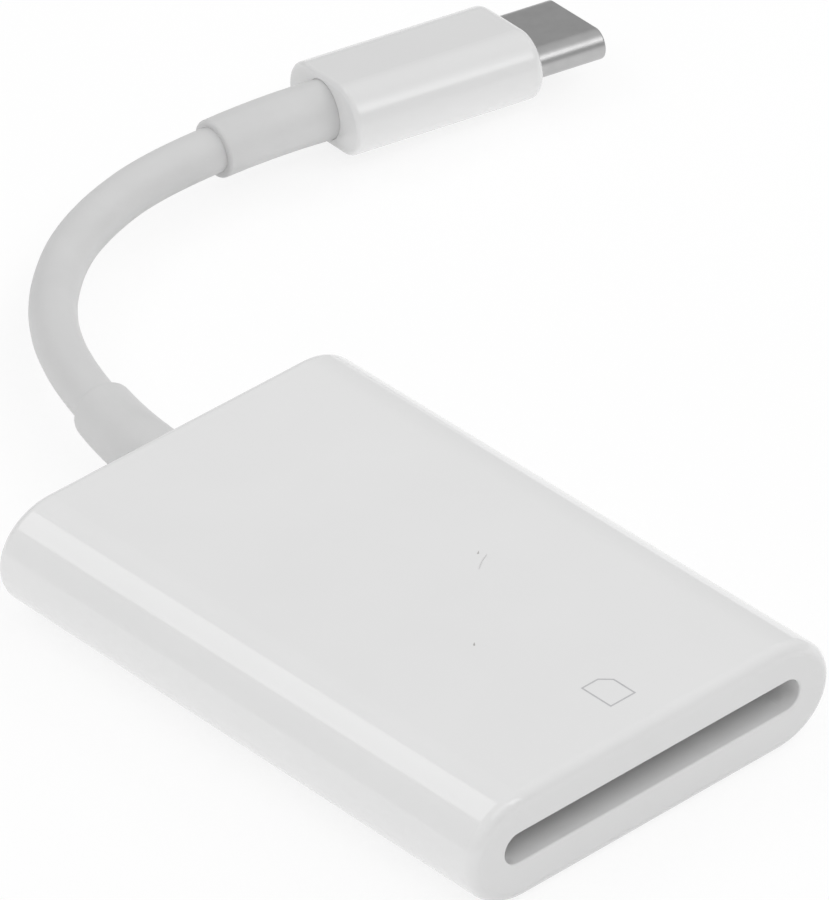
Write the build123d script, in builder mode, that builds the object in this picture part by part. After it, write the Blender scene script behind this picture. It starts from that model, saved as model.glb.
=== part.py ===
from build123d import *

import os
from math import radians, tan

# A usb memory card reader: a slim moulded housing with a card socket, a short cable and a usb-c plug.
# Lengths are millimetres. X runs across the housing, Y along it from the card slot to the cable,
# and Z up from the flat underside. The origin is the middle of the underside.

os.makedirs("parts", exist_ok=True)

# Housing, whose sides stand off from the card that it takes
housing_length = 46.8
housing_height = 8.1
side_room = 3.9
side_depth = 4.65
wall = 1.2
front_wall = 3.0
front_rim = 0.9
rear_rim = 0.8
rim_share_of_wall = 0.9
slot_side = 1.0
slot_height = 2.33
slot_raise = 0.175
slot_edge = 0.15
rib_width = 1.0
rib_offset = 8.0
rib_root = 0.4
rib_clearance = 0.05

# Rear cap
cap_thickness = 2.0
cap_clearance = 0.05
cap_bridge = 0.325

# Memory card and the socket around it
card_width = 24.0
card_thickness = 2.1
card_side_clearance = 0.1
card_lift_clearance = 0.05
rail_width = 0.8
socket_floor = 0.375
socket_gap = 0.3
stop_wall = 1.5
peg_diameter = 0.9
peg_length = 0.6
peg_inset = 1.9
peg_setback = 3.0
peg_clearance = 0.05
lead_in = 0.5

# Socket cover
cover_sheet = 0.15
cover_clearance = 0.02
cover_setback = 1.0
tongue_length = 9.0
tongue_width = 2.6
tongue_cut = 0.4
tongue_offset = 6.0

# Socket contacts
contact_count = 9
contact_pitch = 2.5
contact_width = 0.7
contact_sheet = 0.15
contact_slot_width = 1.0
contact_slot_length = 8.2
contact_reach = 7.0
contact_bump = 0.25
contact_tip = 1.0
contact_foot = 0.9

# Card detect and write protect springs
spring_sheet = 0.12
spring_height = 1.0
spring_length = 6.0
spring_bump = 0.35
spring_window_height = 1.4
detect_setback = 4.0
protect_setback = 13.0

# Main board, which hangs under the floor of the socket
board_thickness = 0.8
board_edge = 0.03
board_corner = 1.0
board_lead = 0.1
electronics_length = 10.6
wire_room = 3.0

# Components on the board, placed from the middle of the space behind the socket
chip_size = 5.0
chip_height = 0.75
chip_edge = 0.1
chip_place = (-3.5, -0.7)
chip_dimple = 0.5
chip_dimple_inset = 1.25
chip_dimple_depth = 0.08
terminal_count = 6
terminal_pitch = 0.7
terminal_width = 0.35
terminal_length = 0.6
terminal_height = 0.15
terminal_show = 0.1
crystal_width = 3.2
crystal_length = 2.5
crystal_base = 0.35
crystal_lid = 0.4
crystal_lid_inset = 0.2
crystal_edge = 3.5
crystal_shift = -0.7
regulator_width = 2.9
regulator_length = 1.6
regulator_height = 1.0
regulator_edge = 0.15
regulator_leg_width = 0.45
regulator_leg_length = 0.6
regulator_leg_height = 0.25
regulator_leg_pitch = 0.95
regulator_place = (6.6, -0.2)
capacitor_size = (1.6, 0.8, 0.8)
capacitor_places = [(1.2, -2.7), (1.2, -0.7), (1.2, 1.3), (10.0, -1.5), (10.0, 1.1), (-9.6, -3.1)]
resistor_size = (1.6, 0.8, 0.45)
resistor_places = [(3.6, -2.7), (3.6, -0.7), (-9.6, 1.7), (-7.4, 2.9)]

# Wires from the cable to the board
wire_diameter = 0.8
wire_spread = 0.5
wire_pad_pitch = 2.5
wire_pad_setback = 2.0
wire_bend = 0.6
wire_leave_share = 0.25
wire_land_share = 0.35

# Cable, with its route measured from the middle of the housing's rear face
cable_diameter = 3.4
cable_inset = 4.2
bend_share = 0.45
cord_offsets = [
    (0.0, -cable_inset, 0.0),
    (0.0, 3.33, 0.0),
    (2.39, 13.35, -0.08),
    (5.98, 20.11, -0.17),
    (11.68, 25.24, -0.25),
    (17.26, 27.73, -0.33),
    (23.20, 28.85, -0.43),
    (32.08, 28.17, -0.472),
    (39.43, 26.70, -0.667),
]

# Boot at the housing
boot_wall = 0.525
boot_length = 9.3
boot_shoulder = 0.3
boot_clearance = 0.05
flange_width = 7.0
flange_clearance = 0.35
flange_thickness = 1.4
flange_corner = 1.2

# Usb-c plug, measured back from its nose, with its cover drawn round the steel shell
plug_side = 0.845
plug_over = 1.48
plug_length = 15.4
plug_wall = 0.7
plug_roll = -8.7
nose_rim = 0.74
tail_rim = 0.38
cable_entry = 2.0
tail_ring = 0.45
plug_boot_wall = 0.47
plug_boot_length = 9.3
plug_boot_clearance = 0.03
plug_boot_shoulder = 0.2

# Steel shell and what lies in it
shell_width = 8.25
shell_height = 2.4
shell_sheet = 0.3
shell_reach = 5.5
shell_root = 3.0
shell_rim = 0.14
rim_share_of_sheet = 0.48
insulator_root = 4.0
insulator_setback = 0.35
mouth_side = 0.425
mouth_height = 0.9
mouth_depth = 5.0
pin_count = 12
pin_pitch = 0.5
pin_width = 0.25
pin_sheet = 0.2
pin_show = 0.05
pin_setback = 0.9
pin_landing = 1.2
latch_inset = 0.325
latch_sheet = 0.25
latch_height = 0.6
latch_hook = 0.35
latch_hook_place = 2.0
latch_setback = 0.8
latch_channel_height = 0.64
latch_landing = 2.0
plug_board_length = 6.0
plug_board_clearance = 0.05
plug_wire_diameter = 0.7
plug_wire_spread = 0.7
plug_wire_landing = 1.0
plug_wire_lift = 0.03
plug_resistor_size = (1.0, 0.5, 0.35)
plug_resistor_place = 1.6

# Heights and places worked out from the sizes above
housing_width = card_width + 2 * side_room
slot_width = card_width + 2 * slot_side
mid_height = housing_height / 2
half_flat = housing_width / 2 - side_depth
slot_z = mid_height + slot_raise
front_plane = Plane.XZ.offset(housing_length / 2)
rear_plane = Plane.XZ.offset(-housing_length / 2)
cavity_plane = front_plane.offset(-front_wall)
cavity_length = housing_length - front_wall

channel_width = card_width + 2 * card_side_clearance
channel_height = card_thickness + 2 * card_lift_clearance
channel_floor = slot_z - channel_height / 2
channel_top = slot_z + channel_height / 2
board_top = channel_floor - socket_floor
board_bottom = board_top - board_thickness
board_standoff = board_bottom - wall
cover_top = channel_top + cover_clearance + cover_sheet

# The wires and the electronics take their length from the rear, and the socket fills the rest
board_rear = housing_length / 2 - cap_thickness - flange_thickness - wire_room
socket_front = -housing_length / 2 + front_wall + socket_gap
socket_rear = board_rear - electronics_length
socket_length = socket_rear - socket_front
socket_middle = (socket_front + socket_rear) / 2
socket_width = channel_width + 2 * rail_width
card_stop = socket_rear - stop_wall
cover_inside = socket_width + 2 * cover_clearance
cover_outside = cover_inside + 2 * cover_sheet
board_front = socket_front - board_lead
board_width = cover_outside + 2 * board_edge
board_plane = Plane.XY.offset(board_top)
electronics_middle = (socket_rear + board_rear) / 2

# The boots fill what the cap and the plug leave for them, and taper to a wall round the cable
boot_root = housing_height - 2 * (wall + cap_clearance + cap_bridge + boot_clearance)
boot_tip = cable_diameter + 2 * boot_wall
flange_height = housing_height - 2 * (wall + flange_clearance)
plug_width = shell_width + 2 * plug_side
plug_height = shell_height + 2 * plug_over
plug_boot_root = plug_height - 2 * tail_ring
plug_boot_tip = cable_diameter + 2 * plug_boot_wall
insulator_width = shell_width - 2 * shell_sheet
mouth_width = insulator_width - 2 * mouth_side
latch_offset = insulator_width / 2 - latch_inset


def housing_profile(plane, inset):
    """Section of the housing: flat top and bottom, with half an ellipse at each side."""
    with BuildSketch(plane) as profile:
        with BuildLine():
            across = side_depth - inset
            up = mid_height - inset
            Line((-half_flat, inset), (half_flat, inset))
            EllipticalCenterArc((half_flat, mid_height), across, up, -90, arc_size=180)
            Line((half_flat, housing_height - inset), (-half_flat, housing_height - inset))
            EllipticalCenterArc((-half_flat, mid_height), across, up, 90, arc_size=180)
        make_face()
    return profile.sketch


# Housing: a sleeve closed at the slot face, with ribs that carry the board and press on the socket
with BuildPart() as housing:
    extrude(housing_profile(front_plane, 0), amount=-housing_length)
    fillet(housing.faces().sort_by(Axis.Y)[0].edges(), front_rim)
    fillet(housing.faces().sort_by(Axis.Y)[-1].edges(), min(rear_rim, rim_share_of_wall * wall))
    extrude(housing_profile(rear_plane, wall), amount=cavity_length, mode=Mode.SUBTRACT)
    with BuildSketch(cavity_plane):
        with Locations((-rib_offset, board_bottom), (rib_offset, board_bottom)):
            Rectangle(rib_width, board_standoff + rib_root, align=(Align.CENTER, Align.MAX))
        with Locations((-rib_offset, cover_top + rib_clearance), (rib_offset, cover_top + rib_clearance)):
            rib_drop = housing_height - wall - cover_top - rib_clearance
            Rectangle(rib_width, rib_drop + rib_root, align=(Align.CENTER, Align.MIN))
    extrude(amount=-(cavity_length - cap_thickness))
    with BuildSketch(front_plane):
        with Locations((0, slot_z)):
            SlotOverall(slot_width, slot_height)
    extrude(amount=-front_wall, mode=Mode.SUBTRACT)
    slot_face = housing.faces().sort_by(Axis.Y)[0]
    fillet(slot_face.inner_wires()[0].edges(), slot_edge)
housing.part.label = "housing"
export_step(housing.part, "parts/housing.step")

# Rear cap: a plate set into the rear mouth, against the ends of the ribs
with BuildPart() as rear_cap:
    extrude(housing_profile(rear_plane, wall + cap_clearance), amount=cap_thickness)
    with BuildSketch(rear_plane):
        with Locations((0, mid_height)):
            Circle(boot_root / 2 + boot_clearance)
    extrude(amount=cap_thickness, mode=Mode.SUBTRACT)
rear_cap.part.label = "rear_cap"
export_step(rear_cap.part, "parts/rear_cap.step")

# Main board, with two holes for the pegs of the socket
peg_offset = socket_width / 2 - peg_inset
peg_spots = [
    (-peg_offset, socket_front + peg_setback),
    (peg_offset, socket_front + peg_setback),
]
with BuildPart() as main_board:
    with BuildSketch(Plane.XY.offset(board_bottom)):
        with Locations((0, (board_front + board_rear) / 2)):
            RectangleRounded(board_width, board_rear - board_front, board_corner)
        with Locations(peg_spots):
            Circle(peg_diameter / 2 + peg_clearance, mode=Mode.SUBTRACT)
    extrude(amount=board_thickness)
main_board.part.label = "main_board"
export_step(main_board.part, "parts/main_board.step")

# Socket frame: floor, side rails and card stop, with slots for the contacts and windows for the springs
spring_side = -channel_width / 2 - rail_width / 2
spring_spots = [socket_front + detect_setback, socket_front + protect_setback]
contact_xs = [contact_pitch * (index - (contact_count - 1) / 2) for index in range(contact_count)]
with BuildPart() as socket_frame:
    with BuildSketch(board_plane):
        with Locations((0, socket_middle)):
            Rectangle(socket_width, socket_length)
    extrude(amount=channel_top - board_top)
    with BuildSketch(Plane.XY.offset(channel_floor)):
        with Locations((0, socket_front)):
            Rectangle(channel_width, socket_length - stop_wall, align=(Align.CENTER, Align.MIN))
    extrude(amount=channel_height, mode=Mode.SUBTRACT)
    mouth_edges = socket_frame.faces().sort_by(Axis.Y)[0].edges().filter_by(Axis.Z)
    chamfer(mouth_edges.sort_by(Axis.X)[1:3], lead_in)
    with BuildSketch(board_plane):
        with Locations([(x, socket_rear) for x in contact_xs]):
            slot_run = stop_wall + contact_slot_length
            Rectangle(contact_slot_width, slot_run, align=(Align.CENTER, Align.MAX))
    extrude(amount=channel_floor - board_top, mode=Mode.SUBTRACT)
    with BuildSketch(Plane.XY.offset(slot_z - spring_window_height / 2)):
        with Locations([(spring_side, y) for y in spring_spots]):
            Rectangle(rail_width, spring_length, align=(Align.CENTER, Align.MIN))
    extrude(amount=spring_window_height, mode=Mode.SUBTRACT)
    with BuildSketch(board_plane):
        with Locations(peg_spots):
            Circle(peg_diameter / 2)
    extrude(amount=-peg_length)
socket_frame.part.label = "socket_frame"
export_step(socket_frame.part, "parts/socket_frame.step")

# Socket cover: a folded sheet over the frame, with two spring tongues cut in its top
cover_length = socket_length - cover_setback
cover_plane = Plane.XZ.offset(-socket_rear)
tongue_xs = [-tongue_offset, tongue_offset]
with BuildPart() as socket_cover:
    with BuildSketch(cover_plane):
        with Locations((0, board_top)):
            Rectangle(cover_outside, cover_top - board_top, align=(Align.CENTER, Align.MIN))
            inside_height = cover_top - board_top - cover_sheet
            Rectangle(cover_inside, inside_height, align=(Align.CENTER, Align.MIN), mode=Mode.SUBTRACT)
    extrude(amount=cover_length)
    with BuildSketch(Plane.XY.offset(cover_top)):
        with Locations([(x, socket_middle) for x in tongue_xs]):
            Rectangle(tongue_width + 2 * tongue_cut, tongue_length)
        with Locations([(x, socket_middle - tongue_cut) for x in tongue_xs]):
            Rectangle(tongue_width, tongue_length, mode=Mode.SUBTRACT)
    extrude(amount=-cover_sheet, mode=Mode.SUBTRACT)
socket_cover.part.label = "socket_cover"
export_step(socket_cover.part, "parts/socket_cover.step")

# Socket contacts: spring strips that rise through the floor of the socket to the card
contact_low = board_top + contact_sheet / 2
with BuildPart() as socket_contacts:
    for contact_x in contact_xs:
        with BuildSketch(Plane.YZ.offset(contact_x)):
            with BuildLine():
                Polyline(
                    (socket_rear + contact_foot, contact_low),
                    (card_stop - contact_tip, contact_low),
                    (card_stop - contact_reach + contact_tip, channel_floor + contact_bump),
                    (card_stop - contact_reach, channel_floor),
                )
            trace(line_width=contact_sheet)
        extrude(amount=contact_width / 2, both=True)
socket_contacts.part.label = "socket_contacts"
export_step(socket_contacts.part, "parts/socket_contacts.step")

# Detect springs: a leaf in each window of the left rail, bent into the way of the card
with BuildPart() as detect_springs:
    for spring_y in spring_spots:
        with BuildSketch(Plane.XY.offset(slot_z)):
            with BuildLine():
                Polyline(
                    (spring_side, spring_y),
                    (spring_side, spring_y + spring_length / 3),
                    (-channel_width / 2 + spring_bump, spring_y + spring_length / 2),
                    (spring_side, spring_y + 2 * spring_length / 3),
                    (spring_side, spring_y + spring_length),
                )
            trace(line_width=spring_sheet)
        extrude(amount=spring_height / 2, both=True)
detect_springs.part.label = "detect_springs"
export_step(detect_springs.part, "parts/detect_springs.step")


def on_board(place):
    """Spot on the board, from a place measured from the middle of the electronics."""
    return (place[0], electronics_middle + place[1])


# Controller chip, on a row of terminals along each side
chip_spot = on_board(chip_place)
with BuildPart() as controller_chip:
    with BuildSketch(board_plane.offset(terminal_height)):
        with Locations(chip_spot):
            Rectangle(chip_size, chip_size)
    extrude(amount=chip_height)
    chip_face = controller_chip.faces().sort_by(Axis.Z)[-1]
    chamfer(chip_face.edges(), chip_edge)
    with BuildSketch(board_plane.offset(terminal_height + chip_height)):
        dimple_reach = chip_size / 2 - chip_dimple_inset
        with Locations((chip_spot[0] - dimple_reach, chip_spot[1] + dimple_reach)):
            Circle(chip_dimple / 2)
    extrude(amount=-chip_dimple_depth, mode=Mode.SUBTRACT)
controller_chip.part.label = "controller_chip"
export_step(controller_chip.part, "parts/controller_chip.step")

terminal_reach = chip_size / 2 + terminal_show - terminal_length / 2
with BuildPart() as chip_terminals:
    with BuildSketch(board_plane):
        with Locations(chip_spot):
            with GridLocations(2 * terminal_reach, terminal_pitch, 2, terminal_count):
                Rectangle(terminal_length, terminal_width)
            with GridLocations(terminal_pitch, 2 * terminal_reach, terminal_count, 2):
                Rectangle(terminal_width, terminal_length)
    extrude(amount=terminal_height)
chip_terminals.part.label = "chip_terminals"
export_step(chip_terminals.part, "parts/chip_terminals.step")

# Crystal: a ceramic base with a raised lid, placed from the side of the board
crystal_spot = on_board((crystal_edge - board_width / 2, crystal_shift))
with BuildPart() as crystal:
    with BuildSketch(board_plane):
        with Locations(crystal_spot):
            Rectangle(crystal_width, crystal_length)
    extrude(amount=crystal_base)
    with BuildSketch(board_plane.offset(crystal_base)):
        with Locations(crystal_spot):
            lid_width = crystal_width - 2 * crystal_lid_inset
            RectangleRounded(lid_width, crystal_length - 2 * crystal_lid_inset, crystal_lid_inset)
    extrude(amount=crystal_lid)
crystal.part.label = "crystal"
export_step(crystal.part, "parts/crystal.step")

# Regulator: a small package with three legs on one side and two on the other
regulator_spot = on_board(regulator_place)
with BuildPart() as regulator:
    with BuildSketch(board_plane):
        with Locations(regulator_spot):
            Rectangle(regulator_width, regulator_length)
    extrude(amount=regulator_height)
    chamfer(regulator.faces().sort_by(Axis.Z)[-1].edges(), regulator_edge)
    leg_y = regulator_length / 2 + regulator_leg_length / 2
    with BuildSketch(board_plane):
        with Locations(regulator_spot):
            with Locations((-regulator_leg_pitch, leg_y), (0, leg_y), (regulator_leg_pitch, leg_y)):
                Rectangle(regulator_leg_width, regulator_leg_length)
            with Locations((-regulator_leg_pitch, -leg_y), (regulator_leg_pitch, -leg_y)):
                Rectangle(regulator_leg_width, regulator_leg_length)
    extrude(amount=regulator_leg_height)
regulator.part.label = "regulator"
export_step(regulator.part, "parts/regulator.step")

with BuildPart() as capacitors:
    with BuildSketch(board_plane):
        with Locations([on_board(place) for place in capacitor_places]):
            Rectangle(capacitor_size[0], capacitor_size[1])
    extrude(amount=capacitor_size[2])
capacitors.part.label = "capacitors"
export_step(capacitors.part, "parts/capacitors.step")

with BuildPart() as resistors:
    with BuildSketch(board_plane):
        with Locations([on_board(place) for place in resistor_places]):
            Rectangle(resistor_size[0], resistor_size[1])
    extrude(amount=resistor_size[2])
resistors.part.label = "resistors"
export_step(resistors.part, "parts/resistors.step")

# Cable: straight runs joined by tangent arcs, each as large as its two runs allow
cable_exit = Vector(0, housing_length / 2, mid_height)
cord_route = [cable_exit + Vector(*offset) for offset in cord_offsets]
cord_radii = []
for before, corner, after in zip(cord_route, cord_route[1:], cord_route[2:]):
    run_in = corner - before
    run_out = after - corner
    turn = run_in.get_angle(run_out)
    cord_radii.append(bend_share * min(run_in.length, run_out.length) / tan(radians(turn / 2)))
with BuildLine() as cord_line:
    FilletPolyline(*cord_route, radius=cord_radii)
cord_path = cord_line.wires()[0]


def path_plane(distance):
    """Plane square to the cable, at a distance along it."""
    place = cord_path.position_at(distance, position_mode=PositionMode.LENGTH)
    heading = cord_path.tangent_at(distance, position_mode=PositionMode.LENGTH)
    return Plane(origin=place, x_dir=(0, 0, 1), z_dir=heading)


with BuildPart() as cable:
    with BuildSketch(path_plane(0)):
        Circle(cable_diameter / 2)
    cable_face = cable.pending_faces[0]
    sweep(path=cord_path)
cable.part.label = "cable"
export_step(cable.part, "parts/cable.step")
print("cable radii", [round(radius, 1) for radius in cord_radii])
print("cable length", round(cord_path.length, 2))
print("cable volume over section times length", cable.part.volume / (cable_face.area * cord_path.length))

# Boot at the housing: a flange behind the cap, a neck through it and a tapered tail along the cable
with BuildPart() as housing_boot:
    with BuildSketch(rear_plane.offset(cap_thickness)):
        with Locations((0, mid_height)):
            RectangleRounded(flange_width, flange_height, flange_corner)
    extrude(amount=flange_thickness)
    with BuildSketch(rear_plane):
        with Locations((0, mid_height)):
            Circle(boot_root / 2)
    extrude(amount=cap_thickness)
    with BuildSketch(Plane(origin=cable_exit, x_dir=(0, 0, 1), z_dir=(0, 1, 0))):
        Circle(boot_root / 2)
    with BuildSketch(path_plane(cable_inset + boot_length / 2)):
        Circle((boot_root + boot_tip) / 4)
    with BuildSketch(path_plane(cable_inset + boot_length)):
        Circle(boot_tip / 2)
    loft()
    fillet(housing_boot.faces().sort_by(Axis.Y)[-1].edges(), boot_shoulder)
    add(cable.part, mode=Mode.SUBTRACT)
housing_boot.part.label = "housing_boot"
export_step(housing_boot.part, "parts/housing_boot.step")


def board_wire(side, level, pad):
    """Wire from the end of the cable down to its pad, by way of two soft bends."""
    start = Vector(side * wire_spread, cable_exit.Y - cable_inset, mid_height + level * wire_spread)
    end = Vector(pad * wire_pad_pitch, board_rear - wire_pad_setback, board_top + wire_diameter / 2)
    run = start.Y - end.Y
    leave = Vector(start.X, start.Y - wire_leave_share * run, start.Z)
    land = Vector(end.X, end.Y + wire_land_share * run, end.Z)
    with BuildPart() as wire:
        with BuildLine():
            FilletPolyline(start, leave, land, end, radius=wire_bend)
        with BuildSketch(Plane(origin=start, x_dir=(1, 0, 0), z_dir=(0, -1, 0))):
            Circle(wire_diameter / 2)
        sweep()
    return wire.part


# Four wires fan out from the cable to the pads at the rear of the board
power_wire = board_wire(-1, 1, -1.5)
power_wire.label = "power_wire"
export_step(power_wire, "parts/power_wire.step")

data_minus_wire = board_wire(-1, -1, -0.5)
data_minus_wire.label = "data_minus_wire"
export_step(data_minus_wire, "parts/data_minus_wire.step")

data_plus_wire = board_wire(1, -1, 0.5)
data_plus_wire.label = "data_plus_wire"
export_step(data_plus_wire, "parts/data_plus_wire.step")

ground_wire = board_wire(1, 1, 1.5)
ground_wire.label = "ground_wire"
export_step(ground_wire, "parts/ground_wire.step")

# Frame of the plug: origin at the nose, Z along the plug to its tip, Y out of its upper face
plug_heading = (cord_route[-1] - cord_route[-2]).normalized()
plug_nose = cord_route[-1] + plug_heading * (plug_length - cable_entry)
level_across = Vector(0, 0, 1).cross(plug_heading)
plug_across = level_across.rotate(Axis((0, 0, 0), plug_heading), plug_roll)
plug_plane = Plane(origin=plug_nose, x_dir=plug_across, z_dir=plug_heading)
tail_plane = plug_plane.offset(-plug_length)
core_plane = tail_plane.offset(plug_wall)
core_length = plug_length - 2 * plug_wall
tip_axis = Axis(plug_nose, plug_heading)

# Plug cover: a moulded case round the core, with a round hole for the boot and a slot for the shell
with BuildPart() as plug_cover:
    with BuildSketch(tail_plane):
        SlotOverall(plug_width, plug_height)
    extrude(amount=plug_length)
    fillet(plug_cover.faces().sort_by(tip_axis)[-1].edges(), nose_rim)
    fillet(plug_cover.faces().sort_by(tip_axis)[0].edges(), tail_rim)
    with BuildSketch(core_plane):
        SlotOverall(plug_width - 2 * plug_wall, plug_height - 2 * plug_wall)
    extrude(amount=core_length, mode=Mode.SUBTRACT)
    with BuildSketch(tail_plane):
        Circle(plug_boot_root / 2 + plug_boot_clearance)
    extrude(amount=plug_wall, mode=Mode.SUBTRACT)
    with BuildSketch(plug_plane):
        SlotOverall(shell_width, shell_height)
    extrude(amount=-plug_wall, mode=Mode.SUBTRACT)
plug_cover.part.label = "plug_cover"
export_step(plug_cover.part, "parts/plug_cover.step")

# Boot at the plug: a root against the core and a tapered tail along the cable
with BuildPart() as plug_boot:
    with BuildSketch(core_plane):
        Circle(plug_boot_root / 2)
    extrude(amount=-plug_wall)
    tail_distance = cord_path.length - cable_entry
    with BuildSketch(Plane(origin=tail_plane.origin, x_dir=(0, 0, 1), z_dir=plug_heading)):
        Circle(plug_boot_root / 2)
    with BuildSketch(path_plane(tail_distance - plug_boot_length / 2)):
        Circle((plug_boot_root + plug_boot_tip) / 4)
    with BuildSketch(path_plane(tail_distance - plug_boot_length)):
        Circle(plug_boot_tip / 2)
    loft()
    fillet(plug_boot.faces().sort_by(tip_axis)[0].edges(), plug_boot_shoulder)
    add(cable.part, mode=Mode.SUBTRACT)
plug_boot.part.label = "plug_boot"
export_step(plug_boot.part, "parts/plug_boot.step")

# Steel shell: a drawn tube with a rounded rim
with BuildPart() as plug_shell:
    with BuildSketch(plug_plane.offset(-shell_root)):
        SlotOverall(shell_width, shell_height)
        SlotOverall(shell_width - 2 * shell_sheet, shell_height - 2 * shell_sheet, mode=Mode.SUBTRACT)
    extrude(amount=shell_root + shell_reach)
    fillet(plug_shell.faces().sort_by(tip_axis)[-1].edges(), min(shell_rim, rim_share_of_sheet * shell_sheet))
plug_shell.part.label = "plug_shell"
export_step(plug_shell.part, "parts/plug_shell.step")

# Contact rows: straight pins from the board of the plug to its mouth
insulator_front = shell_reach - insulator_setback
pin_low = mouth_height / 2 - pin_show
pin_rear = insulator_root + pin_landing
pin_length = insulator_front - pin_setback + pin_rear
with BuildPart() as plug_contacts_upper:
    with BuildSketch(plug_plane.offset(-pin_rear)):
        with Locations((0, pin_low + pin_sheet / 2)):
            with GridLocations(pin_pitch, 0, pin_count, 1):
                Rectangle(pin_width, pin_sheet)
    extrude(amount=pin_length)
plug_contacts_upper.part.label = "plug_contacts_upper"
export_step(plug_contacts_upper.part, "parts/plug_contacts_upper.step")

with BuildPart() as plug_contacts_lower:
    with BuildSketch(plug_plane.offset(-pin_rear)):
        with Locations((0, -pin_low - pin_sheet / 2)):
            with GridLocations(pin_pitch, 0, pin_count, 1):
                Rectangle(pin_width, pin_sheet)
    extrude(amount=pin_length)
plug_contacts_lower.part.label = "plug_contacts_lower"
export_step(plug_contacts_lower.part, "parts/plug_contacts_lower.step")

# Latches: a strip at each side of the mouth, with a hook that reaches in
latch_plane = Plane(origin=plug_nose, x_dir=plug_plane.x_dir, z_dir=-plug_plane.y_dir)
latch_rear = -insulator_root - latch_landing
latch_front = insulator_front - latch_setback
with BuildPart() as plug_latches:
    for side in (-1, 1):
        with BuildSketch(latch_plane):
            with BuildLine():
                Polyline(
                    (side * latch_offset, latch_rear),
                    (side * latch_offset, latch_front - 2 * latch_hook_place),
                    (side * (latch_offset - latch_hook), latch_front - latch_hook_place),
                    (side * latch_offset, latch_front),
                )
            trace(line_width=latch_sheet)
        extrude(amount=latch_height / 2, both=True)
plug_latches.part.label = "plug_latches"
export_step(plug_latches.part, "parts/plug_latches.step")

# Insulator: fills the shell round the mouth, with a channel for each latch and a groove for each pin
channel_inside = latch_offset - latch_hook - latch_sheet
with BuildPart() as plug_insulator:
    with BuildSketch(plug_plane.offset(-insulator_root)):
        SlotOverall(insulator_width, shell_height - 2 * shell_sheet)
    extrude(amount=insulator_root + insulator_front)
    with BuildSketch(plug_plane.offset(insulator_front)):
        Rectangle(mouth_width, mouth_height)
    extrude(amount=-mouth_depth, mode=Mode.SUBTRACT)
    with BuildSketch(plug_plane.offset(-insulator_root)):
        channel_cut = insulator_width / 2 - channel_inside
        for side in (-1, 1):
            with Locations((side * (channel_inside + channel_cut / 2), 0)):
                Rectangle(channel_cut, latch_channel_height)
    extrude(amount=insulator_root + insulator_front, mode=Mode.SUBTRACT)
    add(plug_contacts_upper.part, mode=Mode.SUBTRACT)
    add(plug_contacts_lower.part, mode=Mode.SUBTRACT)
plug_insulator.part.label = "plug_insulator"
export_step(plug_insulator.part, "parts/plug_insulator.step")

# Board in the plug, between the two rows of pins
plug_board_width = 2 * (latch_offset - latch_sheet / 2 - plug_board_clearance)
with BuildPart() as plug_board:
    with BuildSketch(plug_plane.offset(-insulator_root)):
        Rectangle(plug_board_width, 2 * pin_low)
    extrude(amount=-plug_board_length)
plug_board.part.label = "plug_board"
export_step(plug_board.part, "parts/plug_board.step")

with BuildPart() as plug_resistor:
    with BuildSketch(plug_plane.offset(-insulator_root - plug_board_length / 2)):
        with Locations((plug_resistor_place, pin_low)):
            Rectangle(plug_resistor_size[1], plug_resistor_size[2], align=(Align.CENTER, Align.MIN))
    extrude(amount=plug_resistor_size[0] / 2, both=True)
plug_resistor.part.label = "plug_resistor"
export_step(plug_resistor.part, "parts/plug_resistor.step")

# Wire ends in the plug: two on each face of its board
plug_wire_start = plug_length - cable_entry
plug_wire_end = insulator_root + plug_board_length - plug_wire_landing
plug_wire_level = pin_low + plug_wire_lift + plug_wire_diameter / 2
with BuildPart() as plug_wires:
    with BuildSketch(plug_plane.offset(-plug_wire_start)):
        with GridLocations(2 * plug_wire_spread, 2 * plug_wire_level, 2, 2):
            Circle(plug_wire_diameter / 2)
    extrude(amount=plug_wire_start - plug_wire_end)
plug_wires.part.label = "plug_wires"
export_step(plug_wires.part, "parts/plug_wires.step")

# Core: the inner mould that holds the shell, the board and the end of the cable in the cover
with BuildPart() as plug_core:
    with BuildSketch(core_plane):
        SlotOverall(plug_width - 2 * plug_wall, plug_height - 2 * plug_wall)
    extrude(amount=core_length)
    with BuildSketch(plug_plane.offset(-shell_root)):
        SlotOverall(shell_width, shell_height)
    extrude(amount=shell_root, mode=Mode.SUBTRACT)
    with BuildSketch(plug_plane.offset(-insulator_root)):
        SlotOverall(insulator_width, shell_height - 2 * shell_sheet)
    extrude(amount=insulator_root, mode=Mode.SUBTRACT)
    add(plug_contacts_upper.part, mode=Mode.SUBTRACT)
    add(plug_contacts_lower.part, mode=Mode.SUBTRACT)
    add(plug_latches.part, mode=Mode.SUBTRACT)
    add(plug_board.part, mode=Mode.SUBTRACT)
    add(plug_resistor.part, mode=Mode.SUBTRACT)
    add(plug_wires.part, mode=Mode.SUBTRACT)
    add(cable.part, mode=Mode.SUBTRACT)
plug_core.part.label = "plug_core"
export_step(plug_core.part, "parts/plug_core.step")
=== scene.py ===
import math

import bpy
from mathutils import Matrix, Vector


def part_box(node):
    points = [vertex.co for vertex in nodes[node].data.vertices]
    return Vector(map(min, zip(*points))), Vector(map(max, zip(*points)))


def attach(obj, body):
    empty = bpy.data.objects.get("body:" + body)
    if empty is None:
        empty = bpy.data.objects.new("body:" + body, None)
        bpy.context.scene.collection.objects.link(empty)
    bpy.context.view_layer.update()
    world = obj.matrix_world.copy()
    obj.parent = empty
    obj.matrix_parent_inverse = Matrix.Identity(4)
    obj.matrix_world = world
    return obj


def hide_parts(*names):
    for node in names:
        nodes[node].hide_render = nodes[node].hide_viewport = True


# Looks of a usb memory card reader: a white housing, a short cable and a usb-c plug.
# Every length is in metres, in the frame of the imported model.

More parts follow.
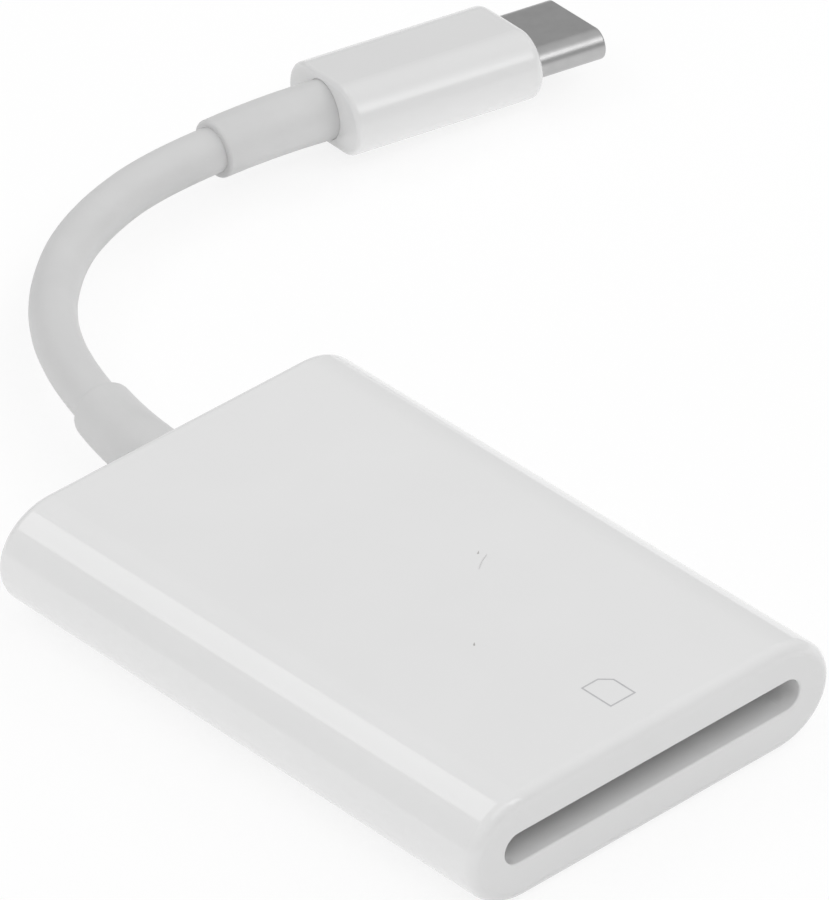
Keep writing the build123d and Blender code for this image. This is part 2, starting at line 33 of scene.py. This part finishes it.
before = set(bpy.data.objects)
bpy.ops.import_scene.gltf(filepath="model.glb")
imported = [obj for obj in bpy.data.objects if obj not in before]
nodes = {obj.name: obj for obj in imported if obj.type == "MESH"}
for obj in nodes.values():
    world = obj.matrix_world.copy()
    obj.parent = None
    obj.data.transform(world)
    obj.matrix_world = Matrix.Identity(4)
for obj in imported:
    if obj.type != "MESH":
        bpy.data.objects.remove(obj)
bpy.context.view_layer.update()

MM = 0.001

# Camera: the angle it looks from, its distance, and where the origin appears from the image's middle
CAMERA_AZIMUTH = math.radians(-41.33)
CAMERA_ELEVATION = math.radians(34.90)
CAMERA_ROLL = math.radians(1.5)
CAMERA_DISTANCE = 711.56 * MM
ORIGIN_RIGHT = -0.1875 * MM
ORIGIN_DOWN = 14.521 * MM
FOCAL_PIXELS = 10802.0
IMAGE_HEIGHT = 900
SENSOR = 36.0
CLIP_START = 0.01
CLIP_END = 20.0

# Cable: its diameter and the points of its route, the same as the solid's
CABLE_DIAMETER = 3.4 * MM
CABLE_EXIT = Vector((0.0, 23.4, 4.05)) * MM
CABLE_ROUTE = [
    (0.0, -4.2, 0.0),
    (0.0, 3.33, 0.0),
    (2.39, 13.35, -0.08),
    (5.98, 20.11, -0.17),
    (11.68, 25.24, -0.25),
    (17.26, 27.73, -0.33),
    (23.20, 28.85, -0.43),
    (32.08, 28.17, -0.472),
    (39.43, 26.70, -0.667),
]

# Fineness of the round lines: the order of the curve, the steps round it and the steps along it
LINE_ORDER = 3
CABLE_RING_STEPS = 12
CABLE_SPAN_STEPS = 24
FIBRE_RING_STEPS = 4
FIBRE_SPAN_STEPS = 12

# Print on the top: a card's outline with one corner cut
SYMBOL_MIDDLE = (0.34 * MM, -18.76 * MM)
SYMBOL_WIDTH = 2.12 * MM
SYMBOL_LENGTH = 2.72 * MM
SYMBOL_CUT = 0.71 * MM
SYMBOL_LINE = 0.12 * MM
INK_HEIGHT = 0.008 * MM

# Dust on the top, by places across and along it in millimetres: two flecks and a fibre
FLECK_CORNERS = {
    "fleck_rear": [(4.822, -1.51), (4.484, -1.686), (4.471, -1.768), (4.587, -1.786)],
    "fleck_front": [(-2.32, -8.871), (-2.589, -9.041), (-2.61, -9.159), (-2.497, -9.161)],
}
FIBRE_POINTS = [(4.835, -2.244), (4.468, -2.392), (4.068, -2.586), (3.79, -2.803), (3.442, -3.047)]
FIBRE_DIAMETER = 0.05 * MM

# Noise of every finish: its detail, and where the slow variation of a colour starts and ends
BUMP_DETAIL = 3.0
MOTTLE_DETAIL = 2.0
MOTTLE_START = 0.3
MOTTLE_END = 0.7

# Gloss white mouldings
PLASTIC_IOR = 1.58
PLASTIC_MOTTLE_SCALE = 120.0
PLASTIC_SPREAD = 0.006
PEEL_HEIGHT = 0.0003 * MM
HOUSING_LEVEL = 0.765
HOUSING_ROUGHNESS = 0.05
HOUSING_PEEL_SCALE = 1500.0
PLUG_LEVEL = 0.715
PLUG_ROUGHNESS = 0.18
PLUG_PEEL_SCALE = 1800.0

# Satin jacket of the cable and the boots
JACKET_LEVEL = 0.615
JACKET_ROUGHNESS = 0.5
JACKET_IOR = 1.48
JACKET_GRAIN_SCALE = 5200.0
JACKET_GRAIN_HEIGHT = 0.004 * MM
JACKET_MOTTLE_SCALE = 300.0
JACKET_SPREAD = 0.01

# Steel of the plug's shell and of the sheet pieces
SHELL_LEVEL = 0.50
SHELL_ROUGHNESS = 0.34
SHEET_LEVEL = 0.55
SHEET_ROUGHNESS = 0.3
STEEL_GRAIN_SCALE = 9000.0
STEEL_GRAIN_HEIGHT = 0.0006 * MM
STEEL_MOTTLE_SCALE = 900.0
STEEL_SPREAD = 0.02

# Plain finishes of the inner pieces, the print and the dust
PLAIN_GRAIN_SCALE = 4000.0
PLAIN_GRAIN_HEIGHT = 0.002 * MM
PLAIN_MOTTLE_SCALE = 1500.0
PLAIN_DARK_SHARE = 0.92
PLAIN_FINISHES = {
    "contact_gold": {"color": (0.83, 0.58, 0.22), "roughness": 0.25, "metallic": 1.0},
    "socket_grey": {"color": (0.55, 0.55, 0.55), "roughness": 0.45},
    "dark_moulding": {"color": (0.03, 0.03, 0.032), "roughness": 0.45},
    "board_green": {"color": (0.02, 0.14, 0.06), "roughness": 0.35},
    "capacitor_tan": {"color": (0.45, 0.32, 0.20), "roughness": 0.5},
    "core_natural": {"color": (0.75, 0.74, 0.70), "roughness": 0.55},
    "wire_red": {"color": (0.55, 0.03, 0.03), "roughness": 0.4},
    "wire_black": {"color": (0.03, 0.03, 0.03), "roughness": 0.4},
    "wire_green": {"color": (0.03, 0.32, 0.08), "roughness": 0.4},
    "wire_white": {"color": (0.80, 0.80, 0.80), "roughness": 0.4},
    "ink_grey": {"color": (0.50, 0.50, 0.51), "roughness": 0.4},
    "dust_grey": {"color": (0.42, 0.41, 0.40), "roughness": 0.7},
    "fibre_grey": {"color": (0.70, 0.70, 0.70), "roughness": 0.7},
}

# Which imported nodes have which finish
FINISHED_NODES = {
    "housing_white": ["housing", "rear_cap"],
    "plug_white": ["plug_cover"],
    "jacket_white": ["housing_boot", "plug_boot"],
    "shell_steel": ["plug_shell"],
    "sheet_steel": ["socket_cover", "detect_springs", "plug_latches", "crystal", "chip_terminals"],
    "contact_gold": ["socket_contacts", "plug_contacts_upper", "plug_contacts_lower"],
    "socket_grey": ["socket_frame"],
    "dark_moulding": ["controller_chip", "regulator", "resistors", "plug_resistor", "plug_insulator"],
    "board_green": ["main_board", "plug_board"],
    "capacitor_tan": ["capacitors"],
    "core_natural": ["plug_core"],
    "wire_red": ["power_wire"],
    "wire_black": ["ground_wire"],
    "wire_green": ["data_plus_wire"],
    "wire_white": ["data_minus_wire", "plug_wires"],
}

# Light: the levels of the sky by the sine of the height, and the floor with its share of plain white
SKY_LEVELS = {
    0.0: 0.50,
    0.2: 0.42,
    0.45: 0.50,
    0.68: 0.75,
}
FLOOR_COLOR = (0.96, 0.96, 0.96)
FLOOR_SIZE = 6.0
FLOOR_WHITE = 0.84

# Softboxes by their middle, lie, size and radiance, and whether shiny surfaces mirror them
SOFTBOXES = {
    "light_back_left": {
        "middle": (-0.113, 0.309, 0.368),
        "outward": (-0.266, -0.137, 0.954),
        "along": (-0.46, 0.888, 0.0),
        "length": 0.240,
        "width": 0.235,
        "level": 1.25,
    },
    "light_right": {
        "middle": (0.656, 0.04, 0.456),
        "outward": (0.82, 0.05, 0.57),
        "along": (0.0, 1.0, 0.0),
        "length": 0.45,
        "width": 0.45,
        "level": 2.1,
        "mirrored": False,
    },
    "light_high": {
        "middle": (-0.03, -0.25, 0.54),
        "outward": (-0.05, -0.42, 0.905),
        "along": (1.0, 0.0, 0.0),
        "length": 0.30,
        "width": 0.25,
        "level": 0.9,
    },
    "light_front": {
        "middle": (0.234, -0.413, 0.514),
        "outward": (0.335, -0.59, 0.735),
        "along": (0.87, 0.494, 0.0),
        "length": 0.15,
        "width": 0.36,
        "level": 1.8,
    },
    "light_slot": {
        "middle": (0.02, -0.30, 0.40),
        "outward": (0.04, -0.60, 0.80),
        "along": (1.0, 0.0, 0.0),
        "length": 0.25,
        "width": 0.16,
        "level": 1.2,
        "mirrored": False,
    },
    "light_left": {
        "middle": (-0.59, 0.02, 0.08),
        "outward": (-0.99, 0.03, 0.12),
        "along": (0.03, 0.99, 0.0),
        "length": 0.50,
        "width": 0.16,
        "level": 3.0,
        "mirrored": False,
    },
    "light_side_foot": {
        "middle": (-0.020, 0.0, 0.0003),
        "outward": (0.0, 0.0, -1.0),
        "along": (0.0, 1.0, 0.0),
        "length": 0.046,
        "width": 0.012,
        "level": 0.09,
        "mirrored": False,
    },
    "light_plug": {
        "middle": (0.085, -0.02, 0.090),
        "outward": (0.0, -1.0, 0.0),
        "along": (1.0, 0.0, 0.0),
        "length": 0.06,
        "width": 0.09,
        "level": 0.5,
    },
    "light_plug_foot": {
        "middle": (0.0425, 0.0382, 0.0003),
        "outward": (0.0, 0.0, -1.0),
        "along": (0.98, -0.196, 0.0),
        "length": 0.03,
        "width": 0.016,
        "level": 0.34,
        "mirrored": False,
    },
}


def link(name, data):
    """An object in the scene for some mesh, curve, light or camera data."""
    made = bpy.data.objects.new(name, data)
    bpy.context.scene.collection.objects.link(made)
    return made


def facing(middle, side, up, back):
    """Placement at a point, with the three axes of a camera or a light."""
    turn = Matrix((side, up, back)).transposed()
    return Matrix.Translation(middle) @ turn.to_4x4()


def add_node(tree, kind, **inputs):
    """A shader node, with some of its inputs set."""
    node = tree.nodes.new(kind)
    for name, value in inputs.items():
        node.inputs[name].default_value = value
    return node


def add_math(tree, operation):
    """A shader node that works out one value from two."""
    node = tree.nodes.new("ShaderNodeMath")
    node.operation = operation
    return node


def new_material(name):
    """A material with its tree of nodes and its shader."""
    material = bpy.data.materials.new(name)
    material.use_nodes = True
    return material, material.node_tree, material.node_tree.nodes["Principled BSDF"]


def fine_bump(tree, shader, scale, height):
    """Fine unevenness of a surface: noise of a scale per metre, of a height in metres."""
    place = add_node(tree, "ShaderNodeTexCoord")
    noise = add_node(tree, "ShaderNodeTexNoise", Scale=scale, Detail=BUMP_DETAIL)
    bump = add_node(tree, "ShaderNodeBump", Strength=1.0, Distance=height)
    tree.links.new(place.outputs["Object"], noise.inputs["Vector"])
    tree.links.new(noise.outputs["Fac"], bump.inputs["Height"])
    tree.links.new(bump.outputs["Normal"], shader.inputs["Normal"])
    return place


def mottled(tree, shader, place, scale, low, high):
    """Slow variation of the base colour between two colours."""
    noise = add_node(tree, "ShaderNodeTexNoise", Scale=scale, Detail=MOTTLE_DETAIL)
    ramp = add_node(tree, "ShaderNodeValToRGB")
    first, last = ramp.color_ramp.elements
    first.position = MOTTLE_START
    last.position = MOTTLE_END
    first.color = (*low, 1.0)
    last.color = (*high, 1.0)
    tree.links.new(place.outputs["Object"], noise.inputs["Vector"])
    tree.links.new(noise.outputs["Fac"], ramp.inputs["Fac"])
    tree.links.new(ramp.outputs["Color"], shader.inputs["Base Color"])


def grey(level, spread):
    """Two greys a little either side of a level."""
    return (level - spread,) * 3, (level + spread,) * 3


def moulded_plastic(name, level, roughness, peel_scale):
    """White moulded plastic with a faint orange peel."""
    material, tree, shader = new_material(name)
    shader.inputs["Roughness"].default_value = roughness
    shader.inputs["IOR"].default_value = PLASTIC_IOR
    place = fine_bump(tree, shader, peel_scale, PEEL_HEIGHT)
    mottled(tree, shader, place, PLASTIC_MOTTLE_SCALE, *grey(level, PLASTIC_SPREAD))
    return material


def elastomer(name, level):
    """Satin jacket of the cable and its boots."""
    material, tree, shader = new_material(name)
    shader.inputs["Roughness"].default_value = JACKET_ROUGHNESS
    shader.inputs["IOR"].default_value = JACKET_IOR
    place = fine_bump(tree, shader, JACKET_GRAIN_SCALE, JACKET_GRAIN_HEIGHT)
    mottled(tree, shader, place, JACKET_MOTTLE_SCALE, *grey(level, JACKET_SPREAD))
    return material


def drawn_steel(name, level, roughness):
    """Metal sheet with a fine grain."""
    material, tree, shader = new_material(name)
    shader.inputs["Metallic"].default_value = 1.0
    shader.inputs["Roughness"].default_value = roughness
    place = fine_bump(tree, shader, STEEL_GRAIN_SCALE, STEEL_GRAIN_HEIGHT)
    mottled(tree, shader, place, STEEL_MOTTLE_SCALE, *grey(level, STEEL_SPREAD))
    return material


def plain_finish(name, color, roughness, metallic=0.0):
    """A coloured surface with a fine grain."""
    material, tree, shader = new_material(name)
    shader.inputs["Metallic"].default_value = metallic
    shader.inputs["Roughness"].default_value = roughness
    place = fine_bump(tree, shader, PLAIN_GRAIN_SCALE, PLAIN_GRAIN_HEIGHT)
    dark = tuple(PLAIN_DARK_SHARE * value for value in color)
    mottled(tree, shader, place, PLAIN_MOTTLE_SCALE, dark, color)
    return material


def make_finishes():
    """Every finish, by its name."""
    made = {
        "housing_white": moulded_plastic(
            "housing_white", HOUSING_LEVEL, HOUSING_ROUGHNESS, HOUSING_PEEL_SCALE,
        ),
        "plug_white": moulded_plastic("plug_white", PLUG_LEVEL, PLUG_ROUGHNESS, PLUG_PEEL_SCALE),
        "jacket_white": elastomer("jacket_white", JACKET_LEVEL),
        "shell_steel": drawn_steel("shell_steel", SHELL_LEVEL, SHELL_ROUGHNESS),
        "sheet_steel": drawn_steel("sheet_steel", SHEET_LEVEL, SHEET_ROUGHNESS),
    }
    for name, values in PLAIN_FINISHES.items():
        made[name] = plain_finish(name, **values)
    return made


finishes = make_finishes()


def finish_nodes():
    """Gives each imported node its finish."""
    for finish, names in FINISHED_NODES.items():
        for name in names:
            mesh = nodes[name].data
            mesh.materials.clear()
            mesh.materials.append(finishes[finish])


finish_nodes()


def round_line(name, points, diameter, ring_steps, span_steps, finish):
    """A smooth line near some points, with a round section and closed ends."""
    curve = bpy.data.curves.new(name, "CURVE")
    curve.dimensions = "3D"
    curve.bevel_depth = diameter / 2
    curve.bevel_resolution = ring_steps
    curve.resolution_u = span_steps
    curve.use_fill_caps = True
    spline = curve.splines.new("NURBS")
    spline.points.add(len(points) - 1)
    for control, point in zip(spline.points, points):
        control.co = (*point, 1.0)
    spline.order_u = LINE_ORDER
    spline.use_endpoint_u = True
    curve.materials.append(finishes[finish])
    return link(name, curve)


# Cable: a smooth line along its route, as thick as the jacket
def make_cable():
    points = [CABLE_EXIT + Vector(offset) * MM for offset in CABLE_ROUTE]
    cable = round_line(
        "cable_jacket", points, CABLE_DIAMETER, CABLE_RING_STEPS, CABLE_SPAN_STEPS, "jacket_white",
    )
    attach(cable, "root")
    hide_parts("cable")


make_cable()


# Print and dust on the top of the housing
def on_top(across, along, lift=0.0):
    """Point on the top of the housing, with its place there in metres."""
    return Vector((across, along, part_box("housing")[1].z + lift))


def thin_mark(name, points, faces, finish):
    """A flat mark on the top, half sunk in it, with a little thickness."""
    mesh = bpy.data.meshes.new(name)
    mesh.from_pydata(points, [], faces)
    mesh.materials.append(finishes[finish])
    mark = link(name, mesh)
    thickness = mark.modifiers.new("thickness", "SOLIDIFY")
    thickness.thickness = INK_HEIGHT
    thickness.offset = 0.0
    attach(mark, "root")


def make_symbol():
    across = SYMBOL_WIDTH / 2
    along = SYMBOL_LENGTH / 2
    middle = on_top(*SYMBOL_MIDDLE)
    corners = [
        Vector((-across, -along, 0)),
        Vector((across, -along, 0)),
        Vector((across, along - SYMBOL_CUT, 0)),
        Vector((across - SYMBOL_CUT, along, 0)),
        Vector((-across, along, 0)),
    ]
    count = len(corners)
    points = []
    for index, corner in enumerate(corners):
        before = (corner - corners[index - 1]).normalized()
        after = (corners[(index + 1) % count] - corner).normalized()
        outward = (before - after).normalized()
        reach = SYMBOL_LINE / 2 / math.sin((math.pi - before.angle(after)) / 2)
        points.append(middle + corner + outward * reach)
        points.append(middle + corner - outward * reach)
    faces = []
    for index in range(count):
        here = 2 * index
        there = 2 * ((index + 1) % count)
        faces.append((here, there, there + 1, here + 1))
    thin_mark("card_symbol", points, faces, "ink_grey")


def make_dust():
    for name, corners in FLECK_CORNERS.items():
        points = [on_top(across * MM, along * MM) for across, along in corners]
        thin_mark(name, points, [tuple(range(len(points)))], "dust_grey")
    points = [on_top(across * MM, along * MM, FIBRE_DIAMETER / 2) for across, along in FIBRE_POINTS]
    fibre = round_line(
        "fibre", points, FIBRE_DIAMETER, FIBRE_RING_STEPS, FIBRE_SPAN_STEPS, "fibre_grey",
    )
    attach(fibre, "root")


make_symbol()
make_dust()


def floor_finish():
    """Pale floor that takes shadows, mostly plain white where the camera or a reflection sees it."""
    material, tree, shader = new_material("floor_white")
    tree.nodes.remove(shader)
    output = tree.nodes["Material Output"]
    diffuse = add_node(tree, "ShaderNodeBsdfDiffuse", Color=(*FLOOR_COLOR, 1.0))
    white = add_node(tree, "ShaderNodeEmission", Strength=1.0)
    rays = add_node(tree, "ShaderNodeLightPath")
    seen = add_math(tree, "MAXIMUM")
    seen_through = add_math(tree, "MAXIMUM")
    share = add_math(tree, "MULTIPLY")
    share.inputs[1].default_value = FLOOR_WHITE
    mix = add_node(tree, "ShaderNodeMixShader")
    tree.links.new(rays.outputs["Is Camera Ray"], seen.inputs[0])
    tree.links.new(rays.outputs["Is Glossy Ray"], seen.inputs[1])
    tree.links.new(seen.outputs[0], seen_through.inputs[0])
    tree.links.new(rays.outputs["Is Transmission Ray"], seen_through.inputs[1])
    tree.links.new(seen_through.outputs[0], share.inputs[0])
    tree.links.new(share.outputs[0], mix.inputs["Fac"])
    tree.links.new(diffuse.outputs[0], mix.inputs[1])
    tree.links.new(white.outputs[0], mix.inputs[2])
    tree.links.new(mix.outputs[0], output.inputs["Surface"])
    return material


# Floor under the reader, which takes its soft shadow
def make_floor():
    half = FLOOR_SIZE / 2
    corners = [(-half, -half, 0), (half, -half, 0), (half, half, 0), (-half, half, 0)]
    mesh = bpy.data.meshes.new("floor")
    mesh.from_pydata(corners, [], [tuple(range(len(corners)))])
    mesh.materials.append(floor_finish())
    floor = link("floor", mesh)


make_floor()


# Camera at the photograph's angle
def make_camera():
    back = Vector((
        math.sin(CAMERA_AZIMUTH) * math.cos(CAMERA_ELEVATION),
        -math.cos(CAMERA_AZIMUTH) * math.cos(CAMERA_ELEVATION),
        math.sin(CAMERA_ELEVATION),
    ))
    level_right = Vector((0, 0, 1)).cross(back).normalized()
    level_down = level_right.cross(back)
    right = math.cos(CAMERA_ROLL) * level_right + math.sin(CAMERA_ROLL) * level_down
    down = math.cos(CAMERA_ROLL) * level_down - math.sin(CAMERA_ROLL) * level_right
    place = back * CAMERA_DISTANCE - right * ORIGIN_RIGHT - down * ORIGIN_DOWN
    data = bpy.data.cameras.new("camera")
    data.sensor_fit = "AUTO"
    data.sensor_width = SENSOR
    data.lens = FOCAL_PIXELS * SENSOR / IMAGE_HEIGHT
    data.clip_start = CLIP_START
    data.clip_end = CLIP_END
    camera = link("camera", data)
    camera.matrix_world = facing(place, right, -down, back)
    bpy.context.scene.camera = camera


make_camera()


def softbox(name, middle, outward, along, length, width, level, mirrored=True):
    """A rectangular light of a given radiance, with its back turned outward and its length along a line."""
    data = bpy.data.lights.new(name, "AREA")
    data.shape = "RECTANGLE"
    data.size = length
    data.size_y = width
    data.energy = level * length * width * math.pi
    light = link(name, data)
    back = Vector(outward).normalized()
    side = Vector(along)
    side = (side - side.dot(back) * back).normalized()
    light.matrix_world = facing(Vector(middle), side, back.cross(side), back)
    light.visible_camera = False
    light.visible_glossy = mirrored


def make_sky():
    """A white sky, brightest overhead and darkest a little above the horizon."""
    world = bpy.data.worlds.new("studio")
    world.use_nodes = True
    tree = world.node_tree
    place = add_node(tree, "ShaderNodeTexCoord")
    split = add_node(tree, "ShaderNodeSeparateXYZ")
    ramp = add_node(tree, "ShaderNodeValToRGB")
    stops = ramp.color_ramp.elements
    for index, (height, level) in enumerate(SKY_LEVELS.items()):
        stop = stops[index] if index < len(stops) else stops.new(height)
        stop.position = height
        stop.color = (level, level, level, 1.0)
    tree.links.new(place.outputs["Generated"], split.inputs[0])
    tree.links.new(split.outputs["Z"], ramp.inputs["Fac"])
    tree.links.new(ramp.outputs["Color"], tree.nodes["Background"].inputs["Color"])
    return world


def make_light():
    scene = bpy.context.scene
    scene.view_settings.view_transform = "Standard"
    scene.world = make_sky()
    for name, values in SOFTBOXES.items():
        softbox(name, **values)


make_light()
